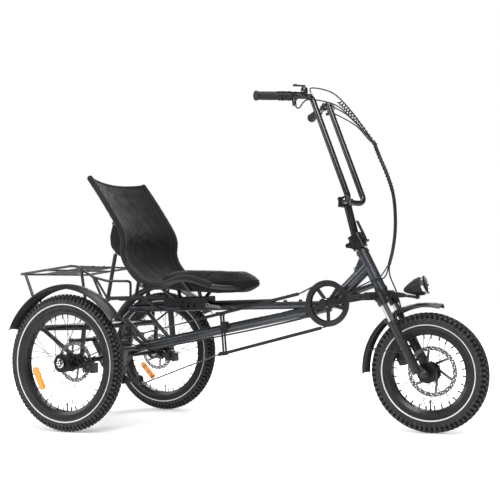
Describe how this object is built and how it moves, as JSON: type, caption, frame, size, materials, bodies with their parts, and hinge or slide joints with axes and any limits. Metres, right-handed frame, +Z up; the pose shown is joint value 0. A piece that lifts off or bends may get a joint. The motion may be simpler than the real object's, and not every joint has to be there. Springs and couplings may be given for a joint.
{
  "type": "adult tricycle",
  "caption": "Semi-recumbent adult tricycle with a mesh seat on a sliding rail, a tall folding handlebar, a rear rack and a sprung front fork.",
  "frame": {"origin": "on the ground, midway along the overall length and on the centre plane", "axes": "+X points forward, +Y to the rider's left, +Z up"},
  "size_m": [1.885, 0.786, 1.2718],
  "materials": {
    "frame_paint": "dark gunmetal metallic paint",
    "black_metal": "satin black powder coat",
    "black_plastic": "matte black moulding",
    "fender_plastic": "satin black moulding",
    "steel": "bright steel",
    "chain_steel": "oiled steel",
    "chrome": "polished plating",
    "alloy": "satin alloy",
    "rim_alloy": "dark anodised",
    "tyre": "charcoal rubber with a pale reflective band",
    "grip_rubber": "ribbed rubber",
    "mesh": "stretched mesh with a padded border",
    "cushion": "padded mesh cover",
    "lens": "clear faceted lens",
    "amber": "amber prism moulding"
  },
  "bodies": {
    "frame": {"main_frame": "frame_paint", "rear_subframe": "black_metal", "axle_bearings": "steel", "bearing_cups": "steel", "seat_rail": "black_metal", "chain_guide_tubes": "black_plastic", "chain": "chain_steel", "derailleur": "black_metal", "rear_rack": "black_metal", "rear_fenders": "fender_plastic", "rear_calipers": "black_metal"},
    "seat": {"seat_frame": "black_metal", "seat_cushion": "cushion"},
    "seat_clamp": {"seat_clamp_lever": "alloy"},
    "backrest": {"backrest_frame": "black_metal", "backrest_mesh": "mesh"},
    "strut_lower": {"strut_tubes": "black_metal"},
    "strut_upper": {"strut_rods": "steel"},
    "drive": {"differential": "black_metal", "cassette": "chain_steel"},
    "rear_left_wheel": {"rear_left_tyre": "tyre", "rear_left_rim": "rim_alloy", "rear_left_spokes": "steel", "rear_left_hub": "alloy", "rear_left_rotor": "steel", "rear_left_reflector": "amber"},
    "rear_right_wheel": {"rear_right_tyre": "tyre", "rear_right_rim": "rim_alloy", "rear_right_spokes": "steel", "rear_right_hub": "alloy", "rear_right_rotor": "steel", "rear_right_reflector": "amber"},
    "crank": {"chainring": "black_metal", "crank_arms": "black_metal"},
    "left_pedal": {"pedal_left": "black_plastic"},
    "right_pedal": {"pedal_right": "black_plastic"},
    "steering": {"stem_base": "black_metal", "fork_crown": "black_metal", "stanchions": "chrome"},
    "fork_slider": {"fork_lowers": "black_metal", "front_axle": "chrome", "front_caliper": "black_metal", "front_fender": "fender_plastic"},
    "front_wheel": {"front_tyre": "tyre", "front_rim": "rim_alloy", "front_spokes": "steel", "front_hub": "alloy", "front_rotor": "steel"},
    "lamp": {"headlamp": "black_plastic", "headlamp_lens": "lens"},
    "bar": {"stem_riser": "black_metal", "handlebar": "black_metal", "grips": "grip_rubber", "lever_clamps": "black_metal", "control_cables": "black_plastic"},
    "latch": {"stem_latch": "alloy"},
    "left_brake_lever": {"brake_lever_left": "black_metal"},
    "right_brake_lever": {"brake_lever_right": "black_metal"},
    "twist_grip": {"twist_shifter": "grip_rubber"},
    "bell": {"bell_striker": "black_plastic"}
  },
  "joints": [
    {"name": "seat_slide", "type": "slide", "parent": "frame", "child": "seat", "axis": [1, 0, 0], "range_m": [-0.03, 0.09]},
    {"name": "seat_clamp_turn", "type": "hinge", "parent": "seat", "child": "seat_clamp", "pos_m": [-0.1425, -0.034, 0.47], "axis": [0, -1, 0], "range_deg": [0, 55]},
    {"name": "recline", "type": "hinge", "parent": "seat", "child": "backrest", "pos_m": [-0.3425, 0, 0.558], "axis": [0, -1, 0], "range_deg": [-10, 10]},
    {"name": "strut_lower_turn", "type": "hinge", "parent": "seat", "child": "strut_lower", "pos_m": [-0.5825, 0, 0.506], "axis": [0, -1, 0], "range_deg": [-8, 8]},
    {"name": "strut_upper_turn", "type": "hinge", "parent": "backrest", "child": "strut_upper", "pos_m": [-0.5085, 0, 0.812], "axis": [0, -1, 0], "range_deg": [-5, 5]},
    {"name": "crank_spin", "type": "hinge", "parent": "frame", "child": "crank", "pos_m": [0.3755, 0, 0.465], "axis": [0, 1, 0], "continuous": true},
    {"name": "drive_spin", "type": "hinge", "parent": "frame", "child": "drive", "pos_m": [-0.6045, 0, 0.266], "axis": [0, 1, 0], "continuous": true},
    {"name": "left_pedal_spin", "type": "hinge", "parent": "crank", "child": "left_pedal", "pos_m": [0.20695, 0.14, 0.44281], "axis": [0, 1, 0], "continuous": true},
    {"name": "right_pedal_spin", "type": "hinge", "parent": "crank", "child": "right_pedal", "pos_m": [0.54405, -0.14, 0.48719], "axis": [0, 1, 0], "continuous": true},
    {"name": "rear_left_spin", "type": "hinge", "parent": "frame", "child": "rear_left_wheel", "pos_m": [-0.6045, 0.345, 0.266], "axis": [0, 1, 0], "continuous": true},
    {"name": "rear_right_spin", "type": "hinge", "parent": "frame", "child": "rear_right_wheel", "pos_m": [-0.6045, -0.345, 0.266], "axis": [0, 1, 0], "continuous": true},
    {"name": "steer", "type": "hinge", "parent": "frame", "child": "steering", "pos_m": [0.5335, 0, 0.578], "axis": [-0.4226, 0, 0.9063], "range_deg": [-30, 30]},
    {"name": "fork_travel", "type": "slide", "parent": "steering", "child": "fork_slider", "axis": [-0.4226, 0, 0.9063], "range_m": [0, 0.012], "stiffness_N_per_m": 60000, "springref_m": -0.003},
    {"name": "front_spin", "type": "hinge", "parent": "fork_slider", "child": "front_wheel", "pos_m": [0.7305, 0, 0.212], "axis": [0, 1, 0], "continuous": true},
    {"name": "lamp_tilt", "type": "hinge", "parent": "steering", "child": "lamp", "pos_m": [0.6995, 0, 0.478], "axis": [0, 1, 0], "range_deg": [-8, 8]},
    {"name": "stem_fold", "type": "hinge", "parent": "steering", "child": "bar", "pos_m": [0.45113, 0, 0.6742], "axis": [0, -1, 0], "range_deg": [0, 60]},
    {"name": "latch_turn", "type": "hinge", "parent": "steering", "child": "latch", "pos_m": [0.51692, 0, 0.69164], "axis": [0, 1, 0], "range_deg": [0, 60]},
    {"name": "left_brake_pull", "type": "hinge", "parent": "bar", "child": "left_brake_lever", "pos_m": [0.3439, 0.1344, 1.22987], "axis": [-0.029, 0.034, 0.999], "range_deg": [0, 11]},
    {"name": "right_brake_pull", "type": "hinge", "parent": "bar", "child": "right_brake_lever", "pos_m": [0.3439, -0.1344, 1.22987], "axis": [0.029, 0.034, -0.999], "range_deg": [0, 11]},
    {"name": "gear_twist", "type": "hinge", "parent": "bar", "child": "twist_grip", "pos_m": [0.2863, -0.15879, 1.22737], "axis": [0.6483, 0.7601, 0.0447], "range_deg": [-50, 50]},
    {"name": "bell_flick", "type": "hinge", "parent": "bar", "child": "bell", "pos_m": [0.33446, -0.10232, 1.26873], "axis": [-0.029, -0.034, 0.999], "range_deg": [0, 25]}
  ],
  "couplings": [
    {"joint": "drive_spin", "follows": "crank_spin", "ratio": 1.25},
    {"joint": "strut_lower_turn", "follows": "recline", "ratio": 0.6603},
    {"joint": "strut_upper_turn", "follows": "recline", "ratio": -0.3397}
  ]
}
